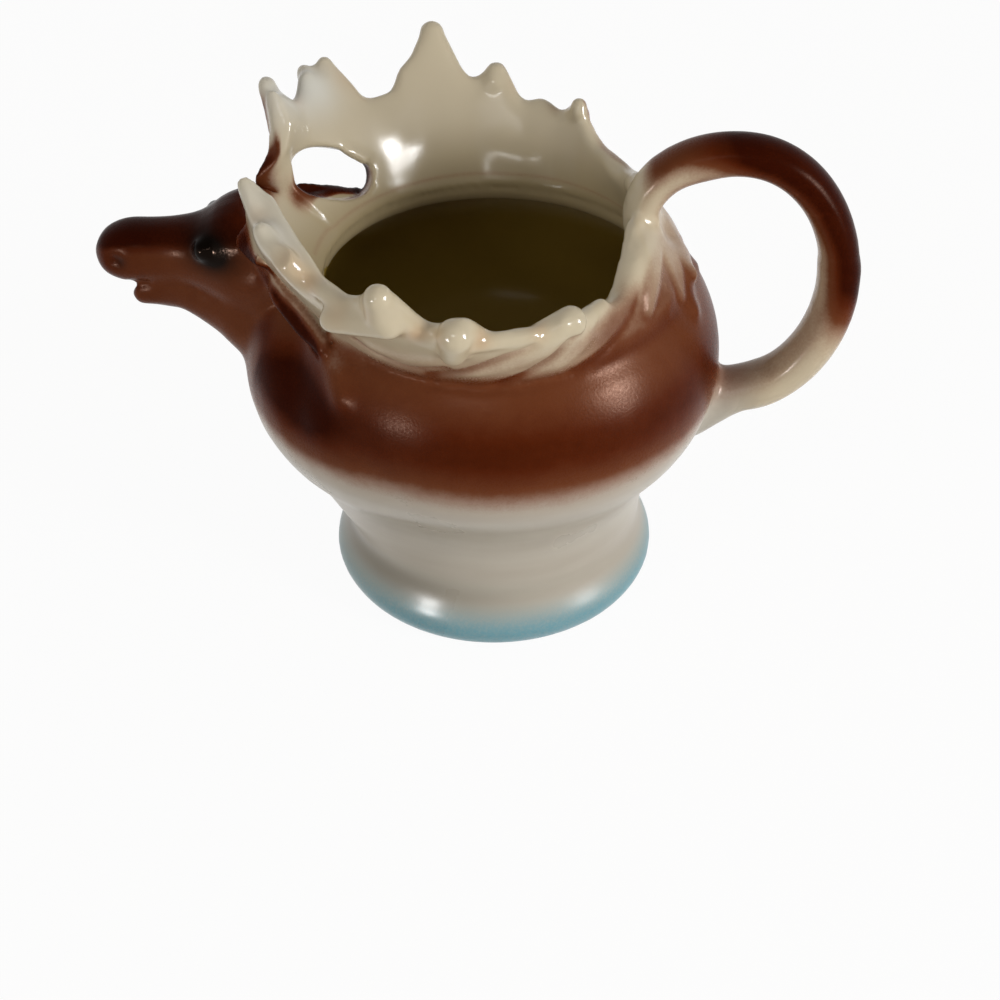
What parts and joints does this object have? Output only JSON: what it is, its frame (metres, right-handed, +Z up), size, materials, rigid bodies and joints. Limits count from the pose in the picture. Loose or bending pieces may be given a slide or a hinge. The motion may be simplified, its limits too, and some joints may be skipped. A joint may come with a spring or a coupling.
{
  "type": "creamer jug",
  "caption": "Small glazed elk creamer: round bowl on a foot, elk's head with a pouring mouth, palmate antlers as the rim, loop handle at the back.",
  "frame": {"origin": "on the table, at the centre of the ring that the foot rests on", "axes": "+Z up, +X towards the handle, the elk looks along -X, XZ is the plane of symmetry"},
  "size_m": [0.1257, 0.087, 0.0859],
  "materials": {
    "body_glaze": "gloss",
    "foot_glaze": "gloss",
    "head_glaze": "gloss",
    "antler_glaze": "gloss",
    "ear_glaze": "gloss",
    "handle_glaze": "gloss"
  },
  "bodies": {
    "root": {"bowl": "body_glaze", "foot": "foot_glaze", "elk_head": "head_glaze", "left_antler": "antler_glaze", "right_antler": "antler_glaze", "left_ear": "ear_glaze", "right_ear": "ear_glaze", "handle": "handle_glaze"}
  },
  "joints": []
}
